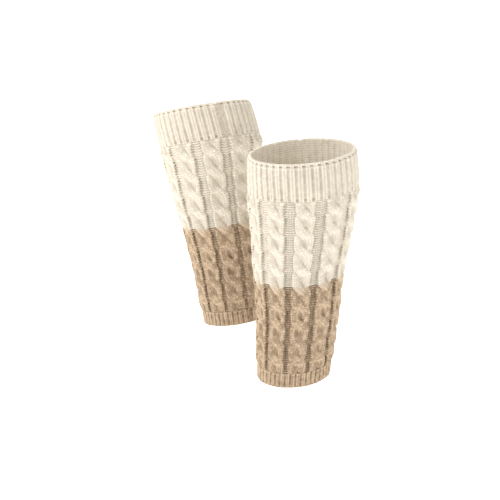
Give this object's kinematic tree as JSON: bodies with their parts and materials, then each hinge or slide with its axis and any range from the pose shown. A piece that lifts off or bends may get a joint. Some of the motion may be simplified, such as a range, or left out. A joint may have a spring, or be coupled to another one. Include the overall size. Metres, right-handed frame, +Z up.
{
  "type": "pair of knitted boot cuffs",
  "caption": "Pair of cable-knit boot cuffs, cream over taupe, with ribbed bands, filled out as worn over the calves and open at both ends.",
  "frame": {"origin": "centre of the near cuff's top opening, where the wearer's calf holds it up", "axes": "+Z up along the near cuff, -X towards the fronts of the cuffs, +Y from the near cuff to the far one"},
  "size_m": [0.2597, 0.2953, 0.3275],
  "materials": {
    "cream_knit": "soft matt cream knit, lightly fuzzy",
    "taupe_knit": "soft matt taupe knit, lightly fuzzy"
  },
  "bodies": {
    "root": {"near_band": "cream_knit", "near_upper": "cream_knit", "near_lower": "taupe_knit", "near_hem": "taupe_knit", "far_band": "cream_knit", "far_upper": "cream_knit", "far_lower": "taupe_knit", "far_hem": "taupe_knit"}
  },
  "joints": []
}
